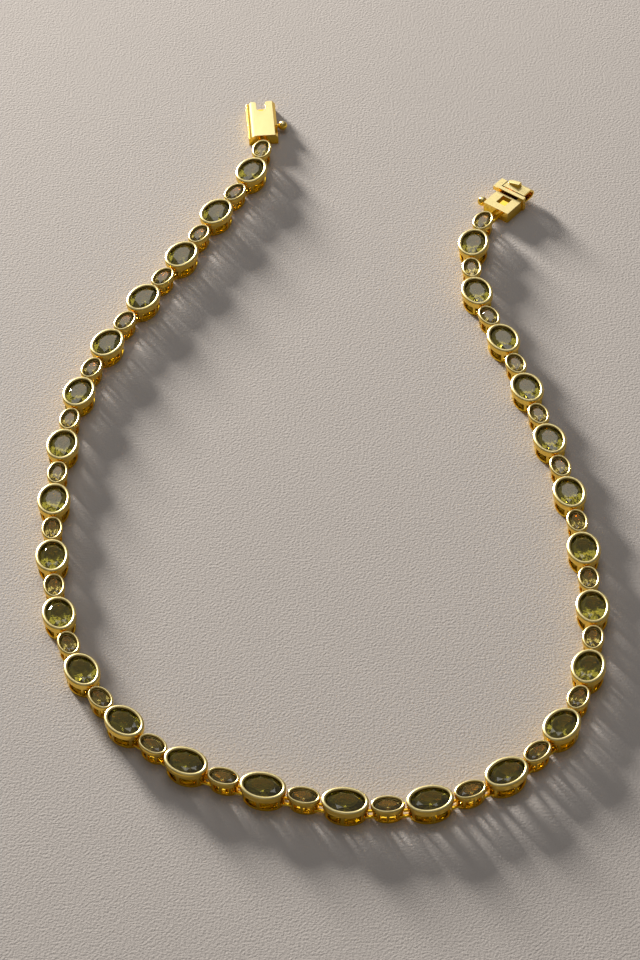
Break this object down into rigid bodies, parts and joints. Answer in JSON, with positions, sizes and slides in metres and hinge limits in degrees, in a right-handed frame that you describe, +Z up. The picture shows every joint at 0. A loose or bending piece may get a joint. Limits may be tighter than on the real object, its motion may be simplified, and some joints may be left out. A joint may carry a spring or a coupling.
{
  "type": "tennis necklace",
  "caption": "Unclasped chain of oval bezel-set stones, large and small in turn, linked by flat wire rings, with a box clasp's two halves at its ends.",
  "frame": {"origin": "middle of the footprint, on the surface that the necklace lies on", "axes": "+Z up, +Y from the front curve of the chain to its two free ends, +X to the right"},
  "size_m": [0.102, 0.1912, 0.0038],
  "materials": {
    "gold": "warm yellow gold plate, satin on the rims and polished inside the galleries",
    "stone": "faceted clear stone, dark olive green"
  },
  "bodies": {
    "root": {"clasp_box": "gold", "clasp_tongue": "gold", "end_setting": "gold", "setting_pair_01": "gold", "setting_pair_02": "gold", "setting_pair_03": "gold", "setting_pair_04": "gold", "setting_pair_05": "gold", "setting_pair_06": "gold", "setting_pair_07": "gold", "setting_pair_08": "gold", "setting_pair_09": "gold", "setting_pair_10": "gold", "setting_pair_11": "gold", "setting_pair_12": "gold", "setting_pair_13": "gold", "setting_pair_14": "gold", "setting_pair_15": "gold", "setting_pair_16": "gold", "setting_pair_17": "gold", "setting_pair_18": "gold", "setting_pair_19": "gold", "setting_pair_20": "gold", "setting_pair_21": "gold", "setting_pair_22": "gold", "setting_pair_23": "gold", "setting_pair_24": "gold", "setting_pair_25": "gold", "setting_pair_26": "gold", "setting_pair_27": "gold", "stone_01": "stone", "stone_02": "stone", "stone_03": "stone", "stone_04": "stone", "stone_05": "stone", "stone_06": "stone", "stone_07": "stone", "stone_08": "stone", "stone_09": "stone", "stone_10": "stone", "stone_11": "stone", "stone_12": "stone", "stone_13": "stone", "stone_14": "stone", "stone_15": "stone", "stone_16": "stone", "stone_17": "stone", "stone_18": "stone", "stone_19": "stone", "stone_20": "stone", "stone_21": "stone", "stone_22": "stone", "stone_23": "stone", "stone_24": "stone", "stone_25": "stone", "stone_26": "stone", "stone_27": "stone"}
  },
  "joints": []
}
